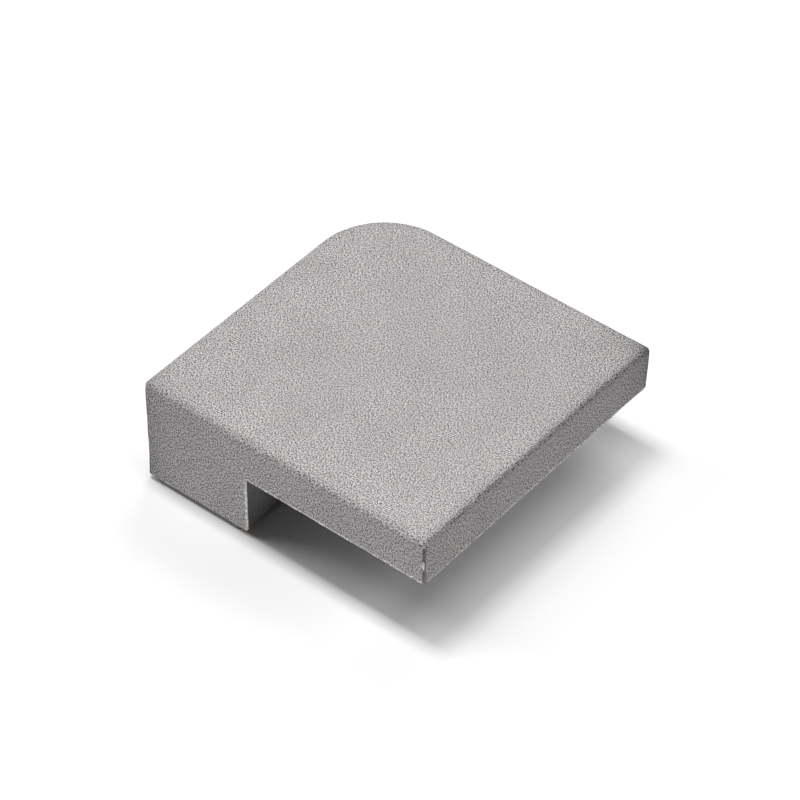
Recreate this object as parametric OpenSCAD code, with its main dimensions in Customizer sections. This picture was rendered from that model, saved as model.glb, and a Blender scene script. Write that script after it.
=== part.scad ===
/* [Body] */
// Width of the display top, left to right, over the suede
top_w = 100; // [94:1:130]
// Depth of the display top, front to back, over the suede
top_d = 100; // [94:1:130]
// Radius of the big back left corner, over the suede
big_corner_r = 23; // [16:0.5:28]
// Radius of the three small upright corners, over the suede
small_corner_r = 1.4; // [1.2:0.1:3]
// Radius of the edge where the top turns down into the sides
top_edge_r = 1.4; // [1.2:0.1:2.2]
// Width of the foot under the left side, over its coverings
foot_w = 36.4; // [34:0.2:50]

/* [Boards] */
// Thickness of the fibreboard under the display top
board_t = 12; // [12:1:18]
// Thickness of the upper fibreboard layer of the foot
foot_upper_t = 12; // [12:1:18]
// Thickness of the lower fibreboard layer of the foot
foot_lower_t = 9; // [9:0.5:15]

/* [Coverings] */
// Thickness of the suede wrap
suede_t = 0.8; // [0.6:0.1:1]
// Thickness of the foam sheet under the suede of the top
foam_t = 1.5; // [1.2:0.1:3]
// Thickness of the thin suede that lines the hidden faces
lining_t = 0.5; // [0.3:0.1:0.8]
// Gap left between the cut edges of the wrap at each upright corner
seam_gap = 0.2; // [0.1:0.05:0.4]
// Height below the round top edge where each corner seam ends
seam_drop = 0.2; // [0.1:0.1:2]

/* [Base pad] */
// Thickness of the non-slip pad under the foot
pad_t = 1.8; // [0.8:0.1:3]
// Distance from the left and right faces of the foot to the pad
pad_side_inset = 2.4; // [1:0.1:4]
// Distance from the front and back faces of the foot to the pad
pad_end_inset = 0.3; // [0.2:0.1:2]
// Radius of the three small corners of the pad
pad_corner_r = 1.5; // [0.5:0.1:3]

/* [Ballast] */
// Width of the steel bar that weighs the foot down
bar_w = 25; // [18:1:26]
// Thickness of the steel bar
bar_t = 8; // [5:0.5:8.5]
// Clearance between the bar and the window it lies in
bar_clear = 0.3; // [0.1:0.1:0.8]
// Solid board between the window and the nearest screw head
window_wall = 2.2; // [1.5:0.1:5]
// Distance from each end of the bar to its screw
bar_screw_inset = 14; // [8:0.5:18]
// Depth that the bar's screws reach into the board
bar_screw_bite = 8; // [5:0.5:10]

/* [Screws] */
// Shank diameter of the wood screws
screw_d = 3.5; // [3:0.1:4]
// Head diameter of the wood screws
head_d = 7; // [6:0.1:8]
// Height of the straight rim round each screw head
head_rim = 0.3; // [0.2:0.1:0.6]
// Length of the pointed end of each screw
screw_point = 3; // [2:0.5:4]
// Clearance round a screw where it passes freely
screw_clear = 0.2; // [0.1:0.1:0.4]
// Depth that the foot's screws reach into the platform board
foot_screw_bite = 9; // [6:0.5:10]
// Distance from the front of the foot to its front screws
front_screw_y = 7; // [5.5:0.5:9]
// Distance from the back of the foot to its back screw
back_screw_y = 9; // [6:0.5:12]
// Distance between the two front screws
front_screw_pitch = 18; // [10:1:20]
// Width of one bar of the cross recess in a screw head
recess_w = 1; // [0.6:0.1:1.2]
// Length of one bar of the cross recess in a screw head
recess_l = 4; // [3:0.1:4.6]
// Depth of the cross recess in a screw head
recess_depth = 1.2; // [0.8:0.1:1.5]

/* [Hidden] */
$fn = 64;

// Reach of a cutting shape past the face it cuts
cut = 1;
// Direction from each upright corner outwards, anticlockwise from the right
front_left = 225;
front_right = 315;
back_right = 45;
back_left = 135;

// Heights of the faces that the layers share
lower_z = pad_t;
upper_z = lower_z + foot_lower_t;
board_z = upper_z + foot_upper_t;
foam_z = board_z + board_t;
top_z = foam_z + foam_t + suede_t;
underside_z = board_z - lining_t;
bar_z = upper_z - bar_t;

// The boards lie inside the suede, and the foot's inner face inside its lining
core_x1 = top_w - suede_t;
core_y1 = top_d - suede_t;
core_big_r = big_corner_r - suede_t;
core_small_r = small_corner_r - suede_t;
foot_core_x1 = foot_w - lining_t;

// The foot's screws stand on its centre line, and the bar fills the room between them
foot_mid_x = (suede_t + foot_core_x1) / 2;
back_screw_at = top_d - back_screw_y;
bar_y0 = front_screw_y + head_d / 2 + window_wall + bar_clear;
bar_y1 = back_screw_at - head_d / 2 - window_wall - bar_clear;
foot_screws_at = [
    [foot_mid_x - front_screw_pitch / 2, front_screw_y],
    [foot_mid_x + front_screw_pitch / 2, front_screw_y],
    [foot_mid_x, back_screw_at]
];
bar_screws_at = [
    [foot_mid_x, bar_y0 + bar_screw_inset],
    [foot_mid_x, bar_y1 - bar_screw_inset]
];
foot_screw_l = foot_lower_t + foot_upper_t + foot_screw_bite;
bar_screw_l = bar_t + bar_screw_bite;
head_h = head_rim + (head_d - screw_d) / 2;

suede_grey = "#8f8c8c";
lining_grey = "#7d7b7b";
board_brown = "#a9855c";
steel_grey = "#9a9da1";
zinc_yellow = "#c9b277";
foam_white = "#e8e6df";
pad_grey = "#58585a";

// Puts the middle of the stand's base on the origin
module centred() {
    translate([-top_w / 2, -top_d / 2, 0]) children();
}

// Outline with three small corners and a big back left corner
module outline(x0, y0, x1, y1, small_r, big_r) {
    polygon([
        [x0 + small_r, y0], [x1 - small_r, y0], [x1, y0 + small_r], [x1, y1 - small_r],
        [x1 - small_r, y1], [x0 + big_r, y1], [x0, y1 - big_r], [x0, y0 + small_r]
    ]);
    translate([x0 + small_r, y0 + small_r]) circle(r = small_r);
    translate([x1 - small_r, y0 + small_r]) circle(r = small_r);
    translate([x1 - small_r, y1 - small_r]) circle(r = small_r);
    translate([x0 + big_r, y1 - big_r]) circle(r = big_r);
}

// Outline of the boards, which the suede goes round
module board_outline() {
    outline(suede_t, suede_t, core_x1, core_y1, core_small_r, core_big_r);
}

// Side view of a block whose two upper edges are round
module round_top_view(w, h, r) {
    intersection() {
        square([w, h]);
        union() {
            square([w, h - r]);
            translate([r, 0]) square([w - 2 * r, h]);
            translate([r, h - r]) circle(r = r);
            translate([w - r, h - r]) circle(r = r);
        }
    }
}

// Side view of the big corner, from its centre out to the face
module round_top_half(w, h, r) {
    intersection() {
        square([w, h]);
        union() {
            square([w, h - r]);
            square([w - r, h]);
            translate([w - r, h - r]) circle(r = r);
        }
    }
}

// Block with the outline of the stand, drawn in by inset, whose top edge is round all the way
module soft_block(inset, z0, z1) {
    w = top_w - 2 * inset;
    d = top_d - 2 * inset;
    h = z1 - z0;
    big_r = big_corner_r - inset;
    edge_r = top_edge_r - inset;
    translate([inset, inset, z0]) {
        difference() {
            intersection() {
                linear_extrude(h) outline(0, 0, w, d, small_corner_r - inset, big_r);
                translate([0, d, 0]) rotate([90, 0, 0]) linear_extrude(d) round_top_view(w, h, edge_r);
                rotate([90, 0, 90]) linear_extrude(w) round_top_view(d, h, edge_r);
            }
            translate([-cut, d - big_r, -cut]) cube([big_r + cut, big_r + cut, h + 2 * cut]);
        }
        translate([big_r, d - big_r, 0])
            rotate([0, 0, 90])
                rotate_extrude(angle = 90) round_top_half(big_r, h, edge_r);
    }
}

// Slit between two cut edges of the wrap, from a corner's centre outwards
module corner_slit(x, y, r, direction) {
    translate([x, y, lower_z - cut])
        rotate([0, 0, direction])
            translate([0, -seam_gap / 2, 0])
                cube([r + cut, seam_gap, top_z - top_edge_r - seam_drop - lower_z + cut]);
}

// Wood screw on its head, point upwards
module wood_screw(length) {
    difference() {
        union() {
            cylinder(d = head_d, h = head_rim);
            translate([0, 0, head_rim]) cylinder(d1 = head_d, d2 = screw_d, h = head_h - head_rim);
            cylinder(d = screw_d, h = length - screw_point);
            translate([0, 0, length - screw_point]) cylinder(d1 = screw_d, d2 = 0, h = screw_point);
        }
        translate([-recess_l / 2, -recess_w / 2, -cut]) cube([recess_l, recess_w, recess_depth + cut]);
        translate([-recess_w / 2, -recess_l / 2, -cut]) cube([recess_w, recess_l, recess_depth + cut]);
    }
}

// Countersunk hole for a screw that passes freely through a layer
module free_hole(depth) {
    translate([0, 0, -cut]) cylinder(d = screw_d + 2 * screw_clear, h = depth + 2 * cut);
    translate([0, 0, -cut]) cylinder(d = head_d + 2 * screw_clear, h = head_rim + cut);
    translate([0, 0, head_rim])
        cylinder(d1 = head_d + 2 * screw_clear, d2 = screw_d + 2 * screw_clear, h = head_h - head_rim);
}

// Hole that a screw's thread and point fill
module thread_hole(bite) {
    translate([0, 0, -cut]) cylinder(d = screw_d, h = bite - screw_point + cut);
    translate([0, 0, bite - screw_point]) cylinder(d1 = screw_d, d2 = 0, h = screw_point);
}

// One layer of the foot, with the stand's outline cut off at the foot's inner face
module foot_layer(z, t) {
    translate([0, 0, z]) linear_extrude(t) intersection() {
        board_outline();
        square([foot_core_x1, top_d]);
    }
}

// Display board, drilled from below for the foot's screws
module platform_board() {
    color(board_brown) centred() difference() {
        translate([0, 0, board_z]) linear_extrude(board_t) board_outline();
        for (at = foot_screws_at) translate([at[0], at[1], board_z]) thread_hole(foot_screw_bite);
    }
}

// Upper foot layer, which the bar's screws bite into
module foot_block_upper() {
    color(board_brown) centred() difference() {
        foot_layer(upper_z, foot_upper_t);
        for (at = foot_screws_at)
            translate([at[0], at[1], upper_z - cut])
                cylinder(d = screw_d + 2 * screw_clear, h = foot_upper_t + 2 * cut);
        for (at = bar_screws_at) translate([at[0], at[1], upper_z]) thread_hole(bar_screw_bite);
    }
}

// Lower foot layer, with the window that the bar lies in
module foot_block_lower() {
    color(board_brown) centred() difference() {
        foot_layer(lower_z, foot_lower_t);
        for (at = foot_screws_at) translate([at[0], at[1], lower_z]) free_hole(foot_lower_t);
        translate([foot_mid_x - bar_w / 2 - bar_clear, bar_y0 - bar_clear, lower_z - cut])
            cube([bar_w + 2 * bar_clear, bar_y1 - bar_y0 + 2 * bar_clear, foot_lower_t + 2 * cut]);
    }
}

// Steel bar under the upper foot layer
module ballast_bar() {
    color(steel_grey) centred() difference() {
        translate([foot_mid_x - bar_w / 2, bar_y0, bar_z]) cube([bar_w, bar_y1 - bar_y0, bar_t]);
        for (at = bar_screws_at) translate([at[0], at[1], bar_z]) free_hole(bar_t);
    }
}

// Screws that hold the bar to the upper foot layer
module ballast_screws() {
    color(zinc_yellow) centred() for (at = bar_screws_at)
        translate([at[0], at[1], bar_z]) wood_screw(bar_screw_l);
}

// Screws that hold both foot layers to the display board
module foot_screws() {
    color(zinc_yellow) centred() for (at = foot_screws_at)
        translate([at[0], at[1], lower_z]) wood_screw(foot_screw_l);
}

// Foam sheet on the display board, with its upper edge rounded
module top_foam() {
    color(foam_white) centred() soft_block(suede_t, foam_z, top_z - suede_t);
}

// Suede sheet over the top and down all four sides, cut open at the upright corners
module suede_wrap() {
    color(suede_grey) centred() difference() {
        soft_block(0, lower_z, top_z);
        soft_block(suede_t, lower_z - cut, top_z - suede_t);
        translate([foot_w, -cut, lower_z - cut])
            cube([top_w - foot_w + cut, top_d + 2 * cut, underside_z - lower_z + cut]);
        corner_slit(small_corner_r, small_corner_r, small_corner_r, front_left);
        corner_slit(top_w - small_corner_r, small_corner_r, small_corner_r, front_right);
        corner_slit(top_w - small_corner_r, top_d - small_corner_r, small_corner_r, back_right);
        corner_slit(big_corner_r, top_d - big_corner_r, big_corner_r, back_left);
    }
}

// Lining on the inner face of the foot, between the wrap's front and back flaps
module foot_inner_lining() {
    color(lining_grey) centred()
        translate([foot_core_x1, suede_t, lower_z])
            cube([lining_t, top_d - 2 * suede_t, board_z - lower_z]);
}

// Lining under the overhang of the display board
module underside_lining() {
    color(lining_grey) centred() translate([0, 0, underside_z]) linear_extrude(lining_t)
        intersection() {
            board_outline();
            translate([foot_w, 0]) square([top_w, top_d]);
        }
}

// Non-slip pad that the stand rests on
module base_pad() {
    color(pad_grey) centred() linear_extrude(pad_t) intersection() {
        outline(
            pad_side_inset, pad_end_inset, foot_w - pad_side_inset, top_d - pad_end_inset,
            pad_corner_r, big_corner_r - pad_side_inset
        );
        square([foot_w - pad_side_inset, top_d]);
    }
}

platform_board();
foot_block_upper();
foot_block_lower();
ballast_bar();
ballast_screws();
foot_screws();
top_foam();
suede_wrap();
foot_inner_lining();
underside_lining();
base_pad();
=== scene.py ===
# %% [markdown]
# # A suede-covered display stand
# This lesson dresses a small display stand for one piece of jewelry. Its body is fibreboard: a square
# platform on a foot that stands under the left side only, so the right side overhangs. Over that goes one
# sheet of grey microfibre suede. The construction model gives the boards, the steel bar and the screws at
# their real places, and this script adds what that model leaves plain: the cloth, the foam, the pad under
# the foot, and the finish of every surface. The first cell loads that model as a fixed frame.

# %% Load the frame
import math

import bmesh
import bpy
from mathutils import Matrix, Vector, noise


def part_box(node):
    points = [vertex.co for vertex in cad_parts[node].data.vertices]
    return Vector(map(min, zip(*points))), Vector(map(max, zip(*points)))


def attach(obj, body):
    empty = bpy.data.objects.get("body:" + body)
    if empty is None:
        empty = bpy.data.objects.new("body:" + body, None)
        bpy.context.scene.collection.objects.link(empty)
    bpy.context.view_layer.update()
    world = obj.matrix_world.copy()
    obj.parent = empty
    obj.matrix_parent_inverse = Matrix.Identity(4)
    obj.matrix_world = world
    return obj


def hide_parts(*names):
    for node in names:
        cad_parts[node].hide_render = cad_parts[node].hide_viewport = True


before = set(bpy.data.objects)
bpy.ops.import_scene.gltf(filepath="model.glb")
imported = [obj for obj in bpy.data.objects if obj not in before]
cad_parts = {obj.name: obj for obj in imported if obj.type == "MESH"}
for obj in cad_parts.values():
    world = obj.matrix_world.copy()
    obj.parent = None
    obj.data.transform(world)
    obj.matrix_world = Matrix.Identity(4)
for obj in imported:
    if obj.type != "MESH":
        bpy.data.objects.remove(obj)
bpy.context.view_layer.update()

print("nodes in the frame:", ", ".join(sorted(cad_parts)))

# %% [markdown]
# ## Sizes
# Blender works in metres, so sizes in millimetres are multiplied by MM. Whatever the frame already knows is
# read from it instead of being typed again: the cover's outer box, the height of the overhang, the inner
# face of the foot and the thickness of the suede. Only the radii are given here, because a box doesn't
# hold them.

# %% Sizes from the frame
MM = 0.001
TINY = 1e-7

cover_low, cover_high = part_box("suede_wrap")
board_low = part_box("platform_board")[0]
foam_low, foam_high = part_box("top_foam")
pad_low, pad_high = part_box("base_pad")
inner_low, inner_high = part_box("foot_inner_lining")
under_low, under_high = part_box("underside_lining")

foot_face_x = inner_high.x
underside_z = under_low.z
suede_t = board_low.x - cover_low.x
big_corner_r = 23 * MM
edge_r = 1.4 * MM
print("cover in mm:", [round(n / MM, 2) for n in cover_high - cover_low], "suede:", round(suede_t / MM, 2))

# %% [markdown]
# ## Camera
# A product photographer shoots a small block from well back with a long lens, so that its edges stay
# nearly parallel. The camera here stands a metre away, about 40 degrees round to the right of the front
# and 44 degrees above the floor. Its axes are built by hand from those two angles and a small roll, because
# a Track To constraint can't roll. Only the length of the lens then sets how large the stand appears.

# %% Camera
CAMERA_TURN = math.radians(39.367)
CAMERA_RISE = math.radians(43.66)
CAMERA_ROLL = math.radians(-0.161)
CAMERA_DISTANCE = 1007.8 * MM
FRAME_PX = 800
FOCAL_PX = 3665.9
aim = Vector((9.68 * MM, -10.79 * MM, cover_high.z))


def toward(turn, rise):
    """The direction a number of radians to the right of the front and above the floor."""
    return Vector((math.sin(turn) * math.cos(rise), -math.cos(turn) * math.cos(rise), math.sin(rise)))


back = toward(CAMERA_TURN, CAMERA_RISE)
level_right = Vector((0, 0, 1)).cross(back).normalized()
level_up = back.cross(level_right)
right = level_right * math.cos(CAMERA_ROLL) + level_up * math.sin(CAMERA_ROLL)
up = level_up * math.cos(CAMERA_ROLL) - level_right * math.sin(CAMERA_ROLL)

camera_data = bpy.data.cameras.new("camera")
camera_data.sensor_width = 36.0
camera_data.lens = FOCAL_PX / FRAME_PX * camera_data.sensor_width
camera_data.clip_start = 0.01
camera_data.clip_end = 50.0
camera = bpy.data.objects.new("camera", camera_data)
bpy.context.collection.objects.link(camera)
camera.matrix_world = Matrix.Translation(aim + back * CAMERA_DISTANCE) @ Matrix(
    (right, up, back)).transposed().to_4x4()
bpy.context.scene.camera = camera
print("lens", round(camera_data.lens, 1), "mm")

# %% [markdown]
# ## Helpers for materials
# Colours are given as sRGB hex codes, but Blender's sockets want linear light, so one function converts
# them. A material is a small graph of nodes. The second function adds any kind of node, sets what it is
# given, and joins its inputs to the outputs of earlier nodes. A key that names one of the node's own
# properties is set there, and any other key is the name or the number of an input. The last two open a
# material, and close it with its shader. Every texture needs a place to read. That is the object's own
# coordinates in metres, or an attribute of the mesh that holds a place.

# %% Helpers for materials
def linear(code):
    """An sRGB hex code as the linear colour, with full alpha, that a socket takes."""
    parts = [int(code[i:i + 2], 16) / 255 for i in (1, 3, 5)]
    return (*(p / 12.92 if p <= 0.04045 else ((p + 0.055) / 1.055) ** 2.4 for p in parts), 1.0)


def add_node(tree, kind, settings=None, links=None):
    """Adds a node with its settings, and joins its inputs to outputs of other nodes."""
    node = tree.nodes.new(kind)
    for key, value in (settings or {}).items():
        if isinstance(key, str) and hasattr(node, key):
            setattr(node, key, value)
        else:
            node.inputs[key].default_value = value
    for key, output in (links or {}).items():
        tree.links.new(output, node.inputs[key])
    return node


def new_material(name, place_attribute=None):
    """An empty node material: the material itself, its tree, and the place that its textures read."""
    material = bpy.data.materials.new(name)
    material.use_nodes = True
    tree = material.node_tree
    tree.nodes.clear()
    if place_attribute:
        place = add_node(tree, "ShaderNodeAttribute", {"attribute_name": place_attribute}).outputs["Vector"]
    else:
        place = add_node(tree, "ShaderNodeTexCoord").outputs["Object"]
    return material, tree, place


def finish_material(tree, settings, links):
    """Closes a material with its shader and its output."""
    shader = add_node(tree, "ShaderNodeBsdfPrincipled", settings, links)
    add_node(tree, "ShaderNodeOutputMaterial", None, {"Surface": shader.outputs["BSDF"]})
    print("material with", len(tree.nodes), "nodes")


# %% [markdown]
# ## Microfibre suede
# Microfibre suede is a felt of very fine polyester fibres, needled together and then sanded, which raises a
# short nap. The nap lies in tiny tufts and pits, so the eye sees a fine speckle of light and dark, and very
# little gloss. Real tufts are about a tenth of a millimetre, too fine to show at this distance, so they are
# drawn four times coarser here. Three noises make the speckle: one for the tufts, one for clumps of tufts,
# and one for the broad patches that a hand leaves when it strokes the nap. A Power node holds back the dark
# end, so that deep pits stay few. The tufts drive both the colour and a bump, since a pit is darker and
# lower.
#
# Suede is an even speckle without blotches, but a 3D noise is only even on the planes of its own grid, and
# it grows blotchy halfway between them. So the noises don't read the place in the room. They read an
# attribute of the mesh, "flat_place", which will hold where each point of the cover lay on the flat sheet,
# at height zero. The whole speckle then lies on one such plane, and it rides on the cloth where that bends.
#
# Two more attributes change the look from place to place. The first is painted shade and painted light: it
# darkens the nap where shade falls at corners, beside seams and along rounded edges, and lightens it a
# little where more light falls. "cut" turns it to the pale, open fibres of a cut edge, which are partly a
# painted highlight. They will be painted on the mesh by a formula further down, and a mesh without them
# reads zero, which is plain suede.

# %% Suede
TUFT = 0.385 * MM
CLUMP = 1.7 * MM
STROKE = 16 * MM
PIT_LEVEL = 0.396
TIP_LEVEL = 0.597
PIT_POWER = 0.82
SOFT_LIGHT = {"From Min": 0.3, "From Max": 0.7, "To Min": 0.95, "To Max": 1.05}


def suede_material(name, pit_code, tip_code, bump_mm):
    """Speckled suede, from the colour of its pits to the colour of its tips."""
    material, tree, place = new_material(name, "flat_place")
    tufts = add_node(tree, "ShaderNodeTexNoise", {
        "Scale": 1 / TUFT, "Detail": 3.0, "Roughness": 0.5}, {"Vector": place})
    clumps = add_node(tree, "ShaderNodeTexNoise", {
        "Scale": 1 / CLUMP, "Detail": 1.0, "Roughness": 0.5}, {"Vector": place})
    strokes = add_node(tree, "ShaderNodeTexNoise", {
        "Scale": 1 / STROKE, "Detail": 2.0, "Roughness": 0.5, "Distortion": 0.6}, {"Vector": place})
    spread = add_node(tree, "ShaderNodeMapRange", {
        "From Min": PIT_LEVEL, "From Max": TIP_LEVEL}, {"Value": tufts.outputs["Fac"]})
    few_pits = add_node(tree, "ShaderNodeMath", {"operation": "POWER", 1: PIT_POWER}, {
        0: spread.outputs["Result"]})
    colour = add_node(tree, "ShaderNodeMix", {
        "data_type": "RGBA", 6: linear(pit_code), 7: linear(tip_code)}, {0: few_pits.outputs["Value"]})
    clump_light = add_node(tree, "ShaderNodeMapRange", SOFT_LIGHT, {"Value": clumps.outputs["Fac"]})
    stroke_light = add_node(tree, "ShaderNodeMapRange", SOFT_LIGHT, {"Value": strokes.outputs["Fac"]})
    # Painted shade and painted light from the mesh: a value above zero darkens the nap, one below zero
    # lightens it.
    painted_shading = add_node(tree, "ShaderNodeAttribute", {"attribute_name": "painted_shading"})
    painted_shading_factor = add_node(tree, "ShaderNodeMath", {"operation": "SUBTRACT", 0: 1.0}, {
        1: painted_shading.outputs["Fac"]})
    soft_light = add_node(tree, "ShaderNodeMath", {"operation": "MULTIPLY"}, {
        0: clump_light.outputs["Result"], 1: stroke_light.outputs["Result"]})
    light = add_node(tree, "ShaderNodeMath", {"operation": "MULTIPLY"}, {
        0: soft_light.outputs["Value"], 1: painted_shading_factor.outputs["Value"]})
    nap = add_node(tree, "ShaderNodeVectorMath", {"operation": "SCALE"}, {
        "Vector": colour.outputs[2], "Scale": light.outputs["Value"]})
    # Pale open fibres of the cut edges, partly a painted highlight where they catch light bounced off the
    # board.
    cut = add_node(tree, "ShaderNodeAttribute", {"attribute_name": "cut"})
    ragged = add_node(tree, "ShaderNodeMath", {"operation": "MULTIPLY_ADD", 1: 1.4}, {
        0: cut.outputs["Fac"], 2: clumps.outputs["Fac"]})
    pale_fibres_and_highlight = add_node(tree, "ShaderNodeMapRange", {
        "From Min": 0.95, "From Max": 1.35}, {"Value": ragged.outputs["Value"]})
    pale = add_node(tree, "ShaderNodeMix", {
        "data_type": "RGBA", 6: linear("#807d7b"), 7: linear("#fbf8f5")}, {0: few_pits.outputs["Value"]})
    shaded = add_node(tree, "ShaderNodeMix", {"data_type": "RGBA"}, {
        0: pale_fibres_and_highlight.outputs["Result"], 6: nap.outputs["Vector"], 7: pale.outputs[2]})
    clump_bump = add_node(tree, "ShaderNodeBump", {
        "Strength": 0.3, "Distance": 0.18 * MM}, {"Height": clumps.outputs["Fac"]})
    tuft_bump = add_node(tree, "ShaderNodeBump", {
        "Strength": 0.9, "Distance": bump_mm * MM},
        {"Height": tufts.outputs["Fac"], "Normal": clump_bump.outputs["Normal"]})
    finish_material(tree, {
        "Roughness": 0.95, "Diffuse Roughness": 0.6, "Specular IOR Level": 0.15,
        "Sheen Weight": 0.2, "Sheen Roughness": 0.5, "Sheen Tint": linear("#e9e6e4")},
        {"Base Color": shaded.outputs[2], "Normal": tuft_bump.outputs["Normal"]})
    return material


suede = suede_material("microfibre_suede", "#252323", "#cdc9c9", bump_mm=1.0)
lining_suede = suede_material("thin_lining_suede", "#6a6a6a", "#858585", bump_mm=0.05)

# %% [markdown]
# ## Cut edge of the suede
# Where a knife has cut the suede, the fibres stand open and look paler than the dyed nap, in small beads
# where they clump. Here their pale end is close to white, which is partly the open fibres and partly a
# painted highlight, where the edge catches light bounced off the white board. The cut face itself has a
# material of its own, which goes on the rim of the sheet when the sheet is given its thickness. It also
# takes the nap's painted shade, which darkens the walls of the seams.

# %% Cut edge
BEAD = 0.8 * MM


def cut_edge_material():
    material, tree, place = new_material("suede_cut_edge")
    beads = add_node(tree, "ShaderNodeTexNoise", {
        "Scale": 1 / BEAD, "Detail": 2.0, "Roughness": 0.6}, {"Vector": place})
    spread = add_node(tree, "ShaderNodeMapRange", {
        "From Min": 0.36, "From Max": 0.6}, {"Value": beads.outputs["Fac"]})
    # The pale end is near white: partly open fibres, partly a painted highlight.
    colour = add_node(tree, "ShaderNodeMix", {
        "data_type": "RGBA", 6: linear("#a3a09e"), 7: linear("#fcf9f6")}, {0: spread.outputs["Result"]})
    # Painted shade from the mesh darkens the cut faces too, most on the walls of the seams.
    painted_shading = add_node(tree, "ShaderNodeAttribute", {"attribute_name": "painted_shading"})
    light = add_node(tree, "ShaderNodeMath", {"operation": "SUBTRACT", 0: 1.0}, {1: painted_shading.outputs["Fac"]})
    shaded = add_node(tree, "ShaderNodeVectorMath", {"operation": "SCALE"}, {
        "Vector": colour.outputs[2], "Scale": light.outputs["Value"]})
    bump = add_node(tree, "ShaderNodeBump", {
        "Strength": 0.7, "Distance": 0.2 * MM}, {"Height": beads.outputs["Fac"]})
    finish_material(tree, {
        "Roughness": 0.95, "Specular IOR Level": 0.1, "Sheen Weight": 0.3, "Sheen Roughness": 0.4},
        {"Base Color": shaded.outputs["Vector"], "Normal": bump.outputs["Normal"]})
    return material


cut_edge_highlight = cut_edge_material()

# %% [markdown]
# ## A block with soft edges
# The cover, the foam and the pad all have the stand's outline: three small upright corners and a big one
# at the back left. Each starts as a cube of the right size. One bevel rounds the big upright edge, and a
# second one rounds the top edges and the small upright edges together, so that their radii meet in a neat
# ball at each corner. Bevels are quicker and truer here than placing the points of an arc by hand.

# %% Soft block
SHARP = math.radians(60)


def upright(edge):
    """Says whether an edge stands straight up."""
    a, b = (v.co for v in edge.verts)
    return abs(a.x - b.x) < TINY and abs(a.y - b.y) < TINY


def round_edges(bm, edges, radius, segments):
    """Rounds edges to a radius with a bevel of even steps."""
    bmesh.ops.bevel(
        bm, geom=edges, offset=radius, offset_type="OFFSET", segments=segments, profile=0.5,
        affect="EDGES", material=-1, clamp_overlap=True)


def sharp_edges(bm):
    """The edges that still turn a sharp corner."""
    return [e for e in bm.edges if e.calc_face_angle(0) > SHARP]


def block(low, high, big_r, big_segments):
    """A block from corner to corner, with only the big upright edge rounded."""
    bm = bmesh.new()
    size = high - low
    bmesh.ops.create_cube(
        bm, size=1.0, matrix=Matrix.Translation((low + high) / 2) @ Matrix.Diagonal((*size, 1.0)))
    big = [e for e in bm.edges if upright(e) and e.verts[0].co.x < low.x + TINY
           and e.verts[0].co.y > high.y - TINY]
    round_edges(bm, big, big_r, big_segments)
    return bm


def soft_block(low, high, big_r, small_r, big_segments, small_segments):
    """A block whose small upright edges and top edges are rounded too."""
    bm = block(low, high, big_r, big_segments)
    soft = [e for e in sharp_edges(bm) if upright(e) or min(v.co.z for v in e.verts) > high.z - TINY]
    round_edges(bm, soft, small_r, small_segments)
    return bm


cover = soft_block(cover_low, cover_high, big_corner_r, edge_r, big_segments=36, small_segments=5)
print("cover block:", len(cover.faces), "faces")

# %% [markdown]
# ## Cut the cover to shape
# The sheet has no bottom, and it leaves the space under the overhang free. Two straight cuts, one level
# with the underside and one at the foot's inner face, mark that space off, and the faces inside it are
# deleted with the bottom. Then the whole sheet is sliced every millimetre and a half. The slices give the
# flat faces enough points for the slight waviness of glued cloth, which a single flat face can't show. A
# few more slices lie close to the lower edges, where the cloth will flare.

# %% Notch and slices
def cut_plane(bm, place, normal, faces=None):
    """Cuts faces, or the whole mesh, along a plane."""
    chosen = bm.faces[:] if faces is None else faces
    edges = {e for f in chosen for e in f.edges}
    verts = {v for f in chosen for v in f.verts}
    bmesh.ops.bisect_plane(
        bm, geom=[*chosen, *edges, *verts], dist=TINY, plane_co=place, plane_no=normal)


def slice_evenly(bm, axis, start, stop, step):
    """Slices the whole mesh square to an axis, in even steps between two places."""
    count = round((stop - start) / step)
    normal = Vector([float(i == axis) for i in range(3)])
    for i in range(count + 1):
        cut_plane(bm, normal * (start + (stop - start) * i / count), normal)


SLICE = 1.5 * MM
RIM_SLICES = (0.3 * MM, 0.7 * MM)
FACING_DOWN = -0.9
cut_plane(cover, Vector((foot_face_x, 0, 0)), Vector((1, 0, 0)))
cut_plane(cover, Vector((0, 0, underside_z)), Vector((0, 0, 1)))
unwanted = [
    f for f in cover.faces
    if f.normal.z < FACING_DOWN
    or (f.calc_center_median().x > foot_face_x and f.calc_center_median().z < underside_z)]
bmesh.ops.delete(cover, geom=unwanted, context="FACES")
slice_evenly(cover, 0, cover_low.x + edge_r, foot_face_x, SLICE)
slice_evenly(cover, 0, foot_face_x + SLICE, cover_high.x - edge_r, SLICE)
slice_evenly(cover, 1, cover_low.y + edge_r, cover_high.y - edge_r, SLICE)
slice_evenly(cover, 2, cover_low.z + SLICE, underside_z, SLICE)
slice_evenly(cover, 2, underside_z + SLICE, cover_high.z - edge_r - SLICE / 2, SLICE)
for rim_z in (cover_low.z, underside_z):
    for height in RIM_SLICES:
        cut_plane(cover, Vector((0, 0, rim_z + height)), Vector((0, 0, 1)))
for height in RIM_SLICES:
    cut_plane(cover, Vector((foot_face_x - height, 0, 0)), Vector((1, 0, 0)))
print("sliced cover:", len(cover.faces), "faces")

# %% [markdown]
# ## Corner seams
# A flat sheet can't turn down over a corner without a fold, so it is cut open at each upright corner, and
# the two cut edges meet there in a butt seam. The seam is made as in the workshop: two cuts close
# together, and the strip between them taken away. It starts just below the rounded top edge. Short extra
# slices across the seam let its two edges wander, as edges cut by hand do. They are confined to the corner,
# since the rest doesn't need them.

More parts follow.
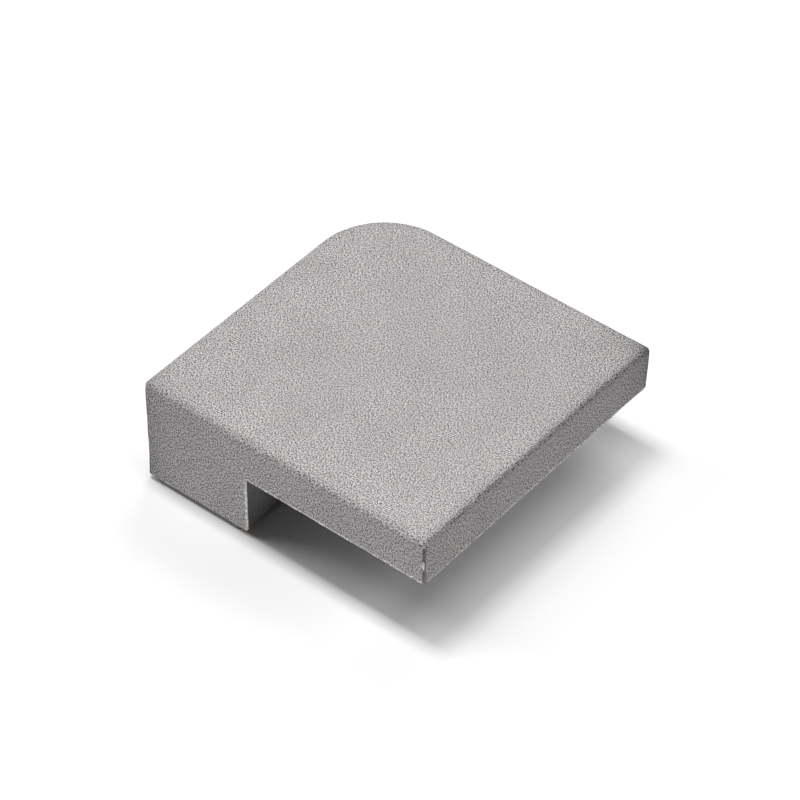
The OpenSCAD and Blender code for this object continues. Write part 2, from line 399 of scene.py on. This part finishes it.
# %% Corner seams
SEAM_GAP = 0.24 * MM
TIGHT_GAP = 0.15 * MM
SEAM_REACH = 3 * MM
SEAM_SLICE = 0.5 * MM
SEAM_START = 0.2 * MM
WELD = 1e-6
seam_top = cover_high.z - edge_r - SEAM_START
corners = {
    "front_left": (Vector((cover_low.x + edge_r, cover_low.y + edge_r, 0)), edge_r, 225),
    "front_right": (Vector((cover_high.x - edge_r, cover_low.y + edge_r, 0)), edge_r, 315),
    "back_right": (Vector((cover_high.x - edge_r, cover_high.y - edge_r, 0)), edge_r, 45),
    "back_left": (Vector((cover_low.x + big_corner_r, cover_high.y - big_corner_r, 0)), big_corner_r, 135),
}


def open_seam(bm, centre, radius, direction, gap):
    """Takes a thin upright strip out of the cover at a corner."""
    turn = math.radians(direction)
    outward = Vector((math.cos(turn), math.sin(turn), 0))
    across = Vector((-outward.y, outward.x, 0))
    middle = centre + outward * radius

    def near(face):
        at = face.calc_center_median()
        flat = Vector((at.x, at.y, 0))
        return (flat - middle).length < SEAM_REACH and at.z < seam_top + SLICE

    for place in (middle - across * gap / 2, middle + across * gap / 2):
        cut_plane(bm, place, across, [f for f in bm.faces if near(f)])
    steps = round((seam_top - cover_low.z) / SEAM_SLICE)
    for i in range(steps):
        height = Vector((0, 0, seam_top - i * SEAM_SLICE))
        cut_plane(bm, height, Vector((0, 0, 1)), [f for f in bm.faces if near(f)])
    strip = [
        f for f in bm.faces
        if near(f) and f.calc_center_median().z < seam_top
        and abs((f.calc_center_median() - middle).dot(across)) < gap / 2 - TINY]
    bmesh.ops.delete(bm, geom=strip, context="FACES")
    return middle, outward, across


seams = {}
for corner, (centre, radius, direction) in corners.items():
    gap = SEAM_GAP if corner == "front_right" else TIGHT_GAP
    seams[corner] = open_seam(cover, centre, radius, direction, gap)
bmesh.ops.remove_doubles(cover, verts=cover.verts[:], dist=WELD)
print("cover with seams:", len(cover.faces), "faces")

# %% [markdown]
# ## Where the cloth lay on the flat sheet
# The suede's noises need the place that each point had before the sheet was folded. The top keeps its x and
# y. The flaps are unrolled round the stand, away from the front: the right one continues to the right, and
# the left one runs back through the big corner, where an arc's length is its angle times its radius. Nap
# hangs down on a flap, so heights are shortened there, which draws the speckle out a little. The places are
# stored on the corners of faces rather than on points, because a point on an edge has one for each flap.
# The linings further down are strips with a much fainter speckle, so they keep their own places.

# %% Flat places
NAP_STRETCH = 0.7
TOP_FACING = 0.7


def unrolled(normal, at):
    """The place on the flat sheet of a point of the cover, on a face that looks along the normal."""
    if normal.z > TOP_FACING:
        return Vector((at.x, at.y, 0))
    height = cover_low.y + (at.z - cover_high.z) * NAP_STRETCH
    if normal.y < -abs(normal.x):
        return Vector((at.x, height, 0))
    if normal.x > abs(normal.y):
        return Vector((cover_high.x + at.y - cover_low.y, height, 0))
    centre = corners["back_left"][0]
    if at.y < centre.y:
        past_corner = at.y - centre.y
    elif at.x > centre.x:
        past_corner = big_corner_r * math.pi / 2 + at.x - centre.x
    else:
        past_corner = big_corner_r * math.atan2(at.y - centre.y, centre.x - at.x)
    return Vector((cover_low.x - (centre.y - cover_low.y) - past_corner, height, 0))


def unmoved(normal, at):
    """The place itself, for a strip that is laid on flat."""
    return at


def note_flat_places(bm, flatten):
    """Stores the flat place of every corner of every face."""
    bm.normal_update()
    layer = bm.loops.layers.float_vector.new("flat_place")
    for face in bm.faces:
        for loop in face.loops:
            loop[layer] = flatten(face.normal, loop.vert.co)


note_flat_places(cover, unrolled)

# %% [markdown]
# ## The set of the cloth
# Glued cloth keeps the mark of the hands that laid it. At the front right corner the two flaps were pulled
# tight, so they meet in a crisp edge although the board is rounded, and at the front left one a little. At
# the back right corner the cloth has swollen outwards where it was gathered, and at the foot of the front
# left corner it has come away a hair. Both are a soft push on the points near a place. Over all of it goes
# a waviness of a few hundredths of a millimetre, driven by smooth noise in real millimetres.

# %% Set of the cloth
WAVE = 0.05 * MM
WAVE_LENGTH = 7 * MM
RIPPLE = 0.03 * MM
RIPPLE_LENGTH = 2.4 * MM
CRISP_FADE = 3 * MM
CRISPNESS = {"front_right": 0.85, "front_left": 0.3}
BACK_RIGHT_SWELL = Vector((0.4, 0.4, -0.35)) * MM
BACK_RIGHT_REACH = 20 * MM
FRONT_LEFT_PUSH = Vector((-0.35, -0.05, 0)) * MM
FRONT_LEFT_REACH = 9 * MM


def make_wavy(bm, wave=WAVE, ripple=RIPPLE):
    """Moves every point a little along its normal, by two smooth noises."""
    bm.normal_update()
    moves = [
        v.normal * (wave * noise.noise(v.co / WAVE_LENGTH) + ripple * noise.noise(v.co / RIPPLE_LENGTH))
        for v in bm.verts]
    for vert, move in zip(bm.verts, moves):
        vert.co += move


def make_crisp(bm, centre, outward, amount):
    """Draws a rounded upright corner out towards a sharp one, below the rounded top edge."""
    for vert in bm.verts:
        offset = Vector((vert.co.x - centre.x, vert.co.y - centre.y, 0))
        if offset.x * outward.x <= TINY * TINY or offset.y * outward.y <= TINY * TINY:
            continue
        depth = min(1, max(0, (seam_top - vert.co.z) / CRISP_FADE))
        corner_scale = offset.length / max(abs(offset.x), abs(offset.y))
        vert.co += offset * (corner_scale - 1) * amount * depth


def swell(bm, at, push, reach):
    """Pushes the cloth near a place, with a soft fall to nothing."""
    for vert in bm.verts:
        near = 1 - min(1, (vert.co - at).length / reach)
        vert.co += push * near * near * (3 - 2 * near)


make_wavy(cover)
for corner, amount in CRISPNESS.items():
    make_crisp(cover, corners[corner][0], seams[corner][1], amount)
swell(cover, cover_high, BACK_RIGHT_SWELL, BACK_RIGHT_REACH)
swell(cover, cover_low, FRONT_LEFT_PUSH, FRONT_LEFT_REACH)

# %% [markdown]
# ## Frayed and lifted edges
# Two attributes are painted on the points here, by their distance from an edge. "cut" is highest on a cut
# edge and fades within less than a millimetre, and the cloth flares out a little there, because nothing
# holds it. Its pale fibres are partly a painted highlight, where the edge catches light bounced off the
# board. The overhang's edge frays most, and the foot's lower edge least. Beside the seams the edges wander
# to and fro, and at one place on the front corner the left one curls outwards and shows its pale fibres,
# brightened there by a painted highlight. The second attribute is painted shade and painted light. It
# darkens the nap at the outer front left and back right corners, beside the seams, where the narrow gaps
# lie in shade, and along the rounded top edges. Along the front of the top, painted light makes the nap a
# shade lighter.

# %% Frayed edges
FRAY_HEIGHT = 0.75 * MM
FOOT_FRAY = 0.45
INNER_FRAY = 0.65
INNER_FRAY_HEIGHT = 0.32 * MM
FLARE = 0.16 * MM
FACING_OUT = 0.5
UNEVEN = 0.7
UNEVEN_LENGTH = 3 * MM
SEAM_SIDE = 1.4 * MM
SEAM_DRIFT = 0.14 * MM
SEAM_DRIFT_LENGTH = 3 * MM
SEAM_WANDER = 0.08 * MM
SEAM_WANDER_LENGTH = 1.3 * MM
MEAN_WANDER = 0.8
SEAM_LIFT = 0.06 * MM
FRONT_SEAM_LIFT = 0.12 * MM
SEAM_LIFT_LENGTH = 4 * MM
MEAN_LIFT = 0.6
LIFT_SWING = 0.8
CURL_Z = 29.0 * MM
CURL_REACH = 1.9 * MM
CURL_OUT = 0.22 * MM
CURL_OVER = 0.12 * MM
# How pale the curled edge turns: its open fibres, and a painted highlight where it catches the light.
CURL_HIGHLIGHT = 1.4
# Painted shade beside the seams, where the narrow gaps lie in shade.
SEAM_PAINTED_SHADE = 0.88
SEAM_PAINTED_SHADE_SWING = 0.3
SEAM_PAINTED_SHADE_REACH = 0.35 * MM
# Each row gives a corner, how much painted shade darkens its nap, and how far that reaches.
CORNER_PAINTED_SHADE = [
    ("front_left", 0.28, 9 * MM), ("front_left", 0.2, 0.8 * MM),
    ("back_right", 0.38, 8 * MM), ("back_right", 0.35, 0.9 * MM)]
# Painted shade along the rounded top edges, where they turn down to the sides.
EDGE_PAINTED_SHADE = 0.26
EDGE_PAINTED_SHADE_REACH = 0.6 * MM
DARKEST_PAINTED_SHADE = 0.92
# Painted light along the front of the top, fading towards the back.
FRONT_PAINTED_LIGHT = 0.09
FRONT_PAINTED_LIGHT_REACH = 30 * MM

cut_and_highlight_layer = cover.verts.layers.float.new("cut")
painted_shading_layer = cover.verts.layers.float.new("painted_shading")


def rim_fray_and_highlight(at):
    """How frayed and how brightly highlighted a point is: 1 on the overhang's edge, less on the foot's two,
    and 0 a little inwards.
    """
    if at.x > foot_face_x + TINY:
        return max(0, 1 - (at.z - underside_z) / FRAY_HEIGHT)
    base = FOOT_FRAY * (1 - (at.z - cover_low.z) / FRAY_HEIGHT)
    inner = INNER_FRAY * (1 - (foot_face_x - at.x) / INNER_FRAY_HEIGHT)
    return max(0, base, inner if at.z < underside_z else 0)


def fray_and_highlight_rims(bm):
    """Paints the lower edges pale, partly as a painted highlight, and flares them."""
    bm.normal_update()
    for vert in bm.verts:
        fray = rim_fray_and_highlight(vert.co)
        uneven = 1 + UNEVEN * noise.noise(vert.co / UNEVEN_LENGTH)
        vert[cut_and_highlight_layer] = fray * uneven
        level = Vector((vert.normal.x, vert.normal.y, 0))
        if fray > 0 and level.length > FACING_OUT:
            vert.co += level.normalized() * FLARE * fray * fray * uneven


def fray_seam(bm, middle, outward, across, lift, curl):
    """Lets the edges of a seam wander and lift, curls the left one at one height, and paints shade beside
    the seam and a highlight on the curl.
    """
    for vert in bm.verts:
        offset = Vector((vert.co.x - middle.x, vert.co.y - middle.y, 0))
        beside = abs(offset.dot(across))
        if offset.length > 2 * SEAM_SIDE or beside > SEAM_SIDE or vert.co.z > seam_top - TINY:
            continue
        near = 1 - beside / SEAM_SIDE
        side = 1 if offset.dot(across) > 0 else -1
        # The whole numbers only keep the three noises, and the two sides of a seam, apart.
        jitter = noise.noise(Vector((side * 9, 0, vert.co.z / SEAM_WANDER_LENGTH)))
        patch = MEAN_LIFT + LIFT_SWING * noise.noise(Vector((side * 5, 3, vert.co.z / SEAM_LIFT_LENGTH)))
        drift = noise.noise(Vector((middle.x / MM, 7, vert.co.z / SEAM_DRIFT_LENGTH)))
        at_edge = min(1, max(0, 1 - (beside - SEAM_GAP / 2) / SEAM_PAINTED_SHADE_REACH))
        vert.co += across * (side * SEAM_WANDER * (MEAN_WANDER + jitter) + SEAM_DRIFT * drift) * near
        vert.co += outward * lift * patch * near
        at_curl = max(0, 1 - abs(vert.co.z - CURL_Z) / CURL_REACH) if curl and side < 0 else 0
        vert.co += (outward * CURL_OUT + across * CURL_OVER) * at_curl * near
        vert[cut_and_highlight_layer] = max(vert[cut_and_highlight_layer] * (1 - at_edge), CURL_HIGHLIGHT * at_curl * near * near)
        vert[painted_shading_layer] = SEAM_PAINTED_SHADE * (1 + SEAM_PAINTED_SHADE_SWING * jitter) * at_edge * (1 - min(1, 2 * at_curl))


def from_edge_middle(at):
    """How far a point lies from the middle of the rounded top edge, measured inwards and down."""
    centre = corners["back_left"][0]
    if at.x < centre.x and at.y > centre.y:
        inwards = big_corner_r - math.hypot(at.x - centre.x, at.y - centre.y)
    else:
        inwards = min(at.x - cover_low.x, cover_high.x - at.x, at.y - cover_low.y, cover_high.y - at.y)
    # The middle of a quarter circle lies 1 - cos(45 degrees) of its radius inwards, and as far down.
    return max(0, inwards) + cover_high.z - at.z - edge_r * (2 - math.sqrt(2))


def paint_light_and_shade(bm):
    """Paints shade on the nap at the corners, beside the seams and along the top edges, and light along the
    front of the top.
    """
    for corner, amount, reach in CORNER_PAINTED_SHADE:
        middle = seams[corner][0]
        for vert in bm.verts:
            away = Vector((vert.co.x - middle.x, vert.co.y - middle.y, 0)).length
            vert[painted_shading_layer] += amount * math.exp(-away / reach)
    for vert in bm.verts:
        vert[painted_shading_layer] += EDGE_PAINTED_SHADE * math.exp(-abs(from_edge_middle(vert.co)) / EDGE_PAINTED_SHADE_REACH)
        if vert.co.z > seam_top:
            vert[painted_shading_layer] -= FRONT_PAINTED_LIGHT * math.exp((cover_low.y - vert.co.y) / FRONT_PAINTED_LIGHT_REACH)
        vert[painted_shading_layer] = min(DARKEST_PAINTED_SHADE, vert[painted_shading_layer])


fray_and_highlight_rims(cover)
for corner, (middle, outward, across) in seams.items():
    at_front = corner == "front_right"
    fray_seam(cover, middle, outward, across, FRONT_SEAM_LIFT if at_front else SEAM_LIFT, at_front)
paint_light_and_shade(cover)
print("widest flare:", round(max(v.co.x for v in cover.verts) / MM, 2), "mm from the middle")

# %% [markdown]
# ## From a sheet to real cloth
# So far the cover is a skin without thickness. A Solidify modifier gives it the suede's 0.8 mm inwards and
# closes the rim, and a small Bevel softens the sharp cut edges, with the pale cut-edge material on them.
# Modifiers are used for this because they follow the skin wherever it goes. The piece then rides on the
# stand's only body, and replaces the plain wrap of the construction model.

# %% Finish the cover
def new_piece(bm, name, materials):
    """Makes an object of a mesh, smooth shaded, with its place in the mesh."""
    for face in bm.faces:
        face.smooth = True
    mesh = bpy.data.meshes.new(name)
    bm.to_mesh(mesh)
    bm.free()
    for material in materials:
        mesh.materials.append(material)
    piece = bpy.data.objects.new(name, mesh)
    bpy.context.collection.objects.link(piece)
    return piece


RIM_BEVEL = 0.14 * MM
RIM_SHARP = math.radians(55)


def thicken(piece, thickness, rim_bevel):
    """Gives a skin its thickness inwards, and breaks the edges of its rim."""
    solid = piece.modifiers.new("thickness", "SOLIDIFY")
    solid.thickness = thickness
    solid.offset = -1.0
    solid.use_even_offset = True
    solid.material_offset_rim = 1
    rim = piece.modifiers.new("rim", "BEVEL")
    rim.width = rim_bevel
    rim.segments = 2
    rim.limit_method = "ANGLE"
    rim.angle_limit = RIM_SHARP
    rim.material = 1


cover_piece = new_piece(cover, "suede_cover", [suede, cut_edge_highlight])
thicken(cover_piece, suede_t, RIM_BEVEL)
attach(cover_piece, "root")
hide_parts("suede_wrap")

# %% [markdown]
# ## Linings
# Two strips of thinner suede cover what the wrap leaves bare: the inner face of the foot and the underside
# of the overhang. They are flat, so each is a thin block, sliced for a little waviness, with its edges
# just broken.

# %% Linings
LINING_EDGE = 0.12 * MM
LINING_WAVE = 0.015 * MM
LINING_RIPPLE = 0.01 * MM


def lining_piece(node, name, low, high):
    """Makes one lining, in the box of the node that it replaces."""
    bm = bmesh.new()
    bmesh.ops.create_cube(
        bm, size=1.0, matrix=Matrix.Translation((low + high) / 2) @ Matrix.Diagonal((*(high - low), 1.0)))
    round_edges(bm, bm.edges[:], LINING_EDGE, segments=2)
    for axis in range(3):
        if high[axis] - low[axis] > 5 * MM:
            slice_evenly(bm, axis, low[axis] + SLICE, high[axis] - SLICE, 2 * SLICE)
    note_flat_places(bm, unmoved)
    make_wavy(bm, LINING_WAVE, LINING_RIPPLE)
    piece = new_piece(bm, name, [lining_suede])
    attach(piece, "root")
    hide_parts(node)


lining_piece("foot_inner_lining", "foot_lining", inner_low, inner_high)
lining_piece("underside_lining", "overhang_lining", under_low, under_high)

# %% [markdown]
# ## Foam sheet
# A thin sheet of foam lies under the suede of the top and makes it feel soft. It never shows, but a
# reader who hides the cover should find the real thing: pale polyurethane foam with open cells of about a
# third of a millimetre, which a Voronoi texture draws well, since its cells are round and close-packed.

# %% Foam
FOAM_CELL = 0.35 * MM


def foam_material():
    material, tree, place = new_material("polyurethane_foam")
    cells = add_node(tree, "ShaderNodeTexVoronoi", {"Scale": 1 / FOAM_CELL}, {"Vector": place})
    colour = add_node(tree, "ShaderNodeMix", {
        "data_type": "RGBA", 6: linear("#cfc9b8"), 7: linear("#f0ede2")}, {0: cells.outputs["Distance"]})
    bump = add_node(tree, "ShaderNodeBump", {
        "Strength": 0.8, "Distance": 0.15 * MM}, {"Height": cells.outputs["Distance"]})
    finish_material(tree, {"Roughness": 0.9, "Specular IOR Level": 0.2}, {
        "Base Color": colour.outputs[2], "Normal": bump.outputs["Normal"]})
    return material


foam = soft_block(
    foam_low, foam_high, big_corner_r - suede_t, edge_r - suede_t, big_segments=24, small_segments=3)
foam_piece = new_piece(foam, "foam_sheet", [foam_material()])
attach(foam_piece, "root")
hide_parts("top_foam")

# %% [markdown]
# ## Base pad
# The stand rests on a die-cut pad of dark grey EVA foam rubber, glued under the foot. Its ends are almost
# flush with the front and back faces, and it stays well inside the left and right ones. From outside only
# its end shows, as a dark strip between the suede and the table. EVA is moulded with a faint skin, so it
# is nearly matte with a slight broad gloss.

# %% Base pad
EVA_GRAIN = 0.6 * MM


def eva_material():
    material, tree, place = new_material("eva_foam_rubber")
    grain = add_node(tree, "ShaderNodeTexNoise", {
        "Scale": 1 / EVA_GRAIN, "Detail": 4.0, "Roughness": 0.65}, {"Vector": place})
    colour = add_node(tree, "ShaderNodeMix", {
        "data_type": "RGBA", 6: linear("#3f3f41"), 7: linear("#67676a")}, {0: grain.outputs["Fac"]})
    bump = add_node(tree, "ShaderNodeBump", {
        "Strength": 0.4, "Distance": 0.08 * MM}, {"Height": grain.outputs["Fac"]})
    finish_material(tree, {"Roughness": 0.7, "Specular IOR Level": 0.4}, {
        "Base Color": colour.outputs[2], "Normal": bump.outputs["Normal"]})
    return material


PAD_CORNER = 1.5 * MM
PAD_EDGE = 0.12 * MM
pad_inset = pad_low.x - cover_low.x
pad = block(pad_low, pad_high, big_corner_r - pad_inset, big_segments=24)
round_edges(pad, [e for e in sharp_edges(pad) if upright(e)], PAD_CORNER, segments=6)
round_edges(pad, sharp_edges(pad), PAD_EDGE, segments=2)
pad_piece = new_piece(pad, "foot_pad", [eva_material()])
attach(pad_piece, "root")
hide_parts("base_pad")

# %% [markdown]
# ## Fibreboard, steel and zinc
# The boards, the ballast bar and the screws keep the meshes of the construction model, which are exact,
# and only get their finish. Medium-density fibreboard is pressed from fine wood fibre: a warm brown with
# short pale and dark flecks. The bar is bright drawn steel, brushed along its length, so its noise is
# stretched that way by a Mapping node. The screws are steel under a yellow zinc passivate, whose thin film
# drifts between gold and a faint green or pink.

# %% Board, bar and screws
FIBRE = 0.9 * MM
BOARD_TONE = 9 * MM
ROUGHNESS_SWING = 0.08


def board_material():
    material, tree, place = new_material("fibreboard")
    fibres = add_node(tree, "ShaderNodeTexNoise", {
        "Scale": 1 / FIBRE, "Detail": 5.0, "Roughness": 0.7, "Distortion": 1.2}, {"Vector": place})
    tone = add_node(tree, "ShaderNodeTexNoise", {
        "Scale": 1 / BOARD_TONE, "Detail": 2.0}, {"Vector": place})
    mixed = add_node(tree, "ShaderNodeMath", {"operation": "MULTIPLY_ADD", 1: 0.25}, {
        0: tone.outputs["Fac"], 2: fibres.outputs["Fac"]})
    spread = add_node(tree, "ShaderNodeMapRange", {
        "From Min": 0.4, "From Max": 0.85}, {"Value": mixed.outputs["Value"]})
    colour = add_node(tree, "ShaderNodeMix", {
        "data_type": "RGBA", 6: linear("#8a6640"), 7: linear("#c9a677")}, {0: spread.outputs["Result"]})
    bump = add_node(tree, "ShaderNodeBump", {
        "Strength": 0.4, "Distance": 0.06 * MM}, {"Height": fibres.outputs["Fac"]})
    finish_material(tree, {"Roughness": 0.8, "IOR": 1.5}, {
        "Base Color": colour.outputs[2], "Normal": bump.outputs["Normal"]})
    return material


def metal_material(name, dark_code, light_code, grain_mm, stretch, roughness):
    material, tree, place = new_material(name)
    along = add_node(tree, "ShaderNodeMapping", {"Scale": (1.0, stretch, 1.0)}, {"Vector": place})
    grain = add_node(tree, "ShaderNodeTexNoise", {
        "Scale": 1 / (grain_mm * MM), "Detail": 3.0}, {"Vector": along.outputs["Vector"]})
    colour = add_node(tree, "ShaderNodeMix", {
        "data_type": "RGBA", 6: linear(dark_code), 7: linear(light_code)}, {0: grain.outputs["Fac"]})
    rough = add_node(tree, "ShaderNodeMapRange", {
        "To Min": roughness - ROUGHNESS_SWING, "To Max": roughness + ROUGHNESS_SWING}, {
        "Value": grain.outputs["Fac"]})
    bump = add_node(tree, "ShaderNodeBump", {
        "Strength": 0.3, "Distance": 0.02 * MM}, {"Height": grain.outputs["Fac"]})
    finish_material(tree, {"Metallic": 1.0}, {
        "Base Color": colour.outputs[2], "Roughness": rough.outputs["Result"],
        "Normal": bump.outputs["Normal"]})
    return material


def dress(node, material):
    """Gives a node of the frame a material."""
    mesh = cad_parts[node].data
    mesh.materials.clear()
    mesh.materials.append(material)


fibreboard = board_material()
for node in ("platform_board", "foot_block_upper", "foot_block_lower"):
    dress(node, fibreboard)
dress("ballast_bar", metal_material(
    "drawn_steel", "#84868a", "#b4b6b9", grain_mm=0.25, stretch=0.04, roughness=0.38))
yellow_zinc = metal_material("yellow_zinc", "#b08d3c", "#d8c48a", grain_mm=1.2, stretch=1.0, roughness=0.32)
for node in ("ballast_screws", "foot_screws"):
    dress(node, yellow_zinc)

# %% [markdown]
# ## Floor
# The stand is photographed on a seamless white board. A single large plane does for it. A faint noise in
# its colour keeps it from looking like paper cut out of a screen.

# %% Floor
FLOOR_TONE = 60 * MM
FLOOR_REACH = 6.0


def floor_material():
    material, tree, place = new_material("white_board")
    tone = add_node(tree, "ShaderNodeTexNoise", {"Scale": 1 / FLOOR_TONE, "Detail": 2.0}, {"Vector": place})
    colour = add_node(tree, "ShaderNodeMix", {
        "data_type": "RGBA", 6: linear("#efefef"), 7: linear("#f3f3f3")}, {0: tone.outputs["Fac"]})
    finish_material(tree, {"Roughness": 0.8, "Specular IOR Level": 0.2}, {"Base Color": colour.outputs[2]})
    return material


ground = bmesh.new()
bmesh.ops.create_grid(ground, x_segments=1, y_segments=1, size=FLOOR_REACH)
floor = new_piece(ground, "floor", [floor_material()])

# %% [markdown]
# ## Light
# A product photographer lights a small object and the white board under it apart, with flags that keep
# each lamp off one of the two: the board must burn out to clean white, while the cloth must stay grey.
# Light linking does here what flags do in the studio. Each softbox gets a collection of receivers, and it
# lights only those, though everything still throws a shadow. The board's lamps hang overhead, at the sides
# and behind, so that the shadow lies straight under the overhang. The stand's key lamp comes from the left
# and a little from behind. It is high enough that the left and back faces aren't burnt out, and far away,
# so that it falls off little. Two weak lamps stand low, one for the front and a small near one for the
# right side. The near one lights the cover only, or it would reach the lining under the overhang.

# %% Lamps
def receivers(name, members):
    """A collection of the objects that a group of lamps lights."""
    group = bpy.data.collections.new(name)
    for member in members:
        group.objects.link(member)
    return group


def softbox(name, at, size, power, lit):
    """A rectangular area light that looks at the stand and lights one group."""
    data = bpy.data.lights.new(name, "AREA")
    data.shape = "RECTANGLE"
    data.size, data.size_y = size
    data.energy = power
    lamp = bpy.data.objects.new(name, data)
    bpy.context.collection.objects.link(lamp)
    outward = (at - LAMP_AIM).normalized()
    wide = Vector((0, 1, 0)).cross(outward).normalized()
    lamp.matrix_world = Matrix.Translation(at) @ Matrix(
        (wide, outward.cross(wide), outward)).transposed().to_4x4()
    lamp.light_linking.receiver_collection = lit


def side(turn, rise, distance):
    """A place for a lamp, from its angles in degrees and its distance in metres."""
    return toward(math.radians(turn), math.radians(rise)) * distance


LAMP_AIM = Vector((0, 0, 20 * MM))
board = receivers("board_group", [floor])
# Each call gives a place, a size in metres, a power in watts, and the group that is lit.
softbox("board_wide", Vector((0.05, 0, 1.6)), (1.6, 0.3), 14.0, board)
softbox("board_narrow", Vector((-0.25, 0, 1.6)), (0.36, 0.28), 7.0, board)
softbox("board_right", side(120, 30, 1.6), (0.71, 0.71), 7.8, board)
softbox("board_left", side(280, 30, 1.6), (0.5, 0.5), 4.2, board)
softbox("board_high_left", side(290, 45, 1.6), (0.6, 0.6), 4.6, board)
softbox("board_back", side(200, 50, 1.6), (0.68, 0.68), 6.2, board)

stand = receivers("stand_group", [
    item for item in bpy.context.scene.objects if item.type == "MESH" and item is not floor])
cloth = receivers("cover_group", [cover_piece])
softbox("key", side(257, 56, 3.0), (2.8, 1.1), 237.0, stand)
softbox("front_fill", side(350, 8, 3.0), (0.5, 0.5), 46.5, stand)
softbox("right_fill", side(80, 8, 0.28), (0.1, 0.1), 0.238, cloth)

# %% [markdown]
# ## White room
# The room is white to the camera, so that a low view sees a clean background, but it gives hardly any
# light, because that would fill the shadow under the overhang. A Light Path node in the world's shader
# tells the camera's own rays from the others.

# %% World
ROOM_LIGHT = 0.03
world = bpy.data.worlds.new("white_room")
world.use_nodes = True
room = world.node_tree
room.nodes.clear()
ray = add_node(room, "ShaderNodeLightPath")
strength = add_node(room, "ShaderNodeMapRange", {"To Min": ROOM_LIGHT, "To Max": 1.0}, {
    "Value": ray.outputs["Is Camera Ray"]})
sky = add_node(room, "ShaderNodeBackground", {"Color": linear("#ffffff")}, {
    "Strength": strength.outputs["Result"]})
add_node(room, "ShaderNodeOutputWorld", None, {"Surface": sky.outputs["Background"]})
bpy.context.scene.world = world
bpy.context.scene.view_settings.view_transform = "Standard"
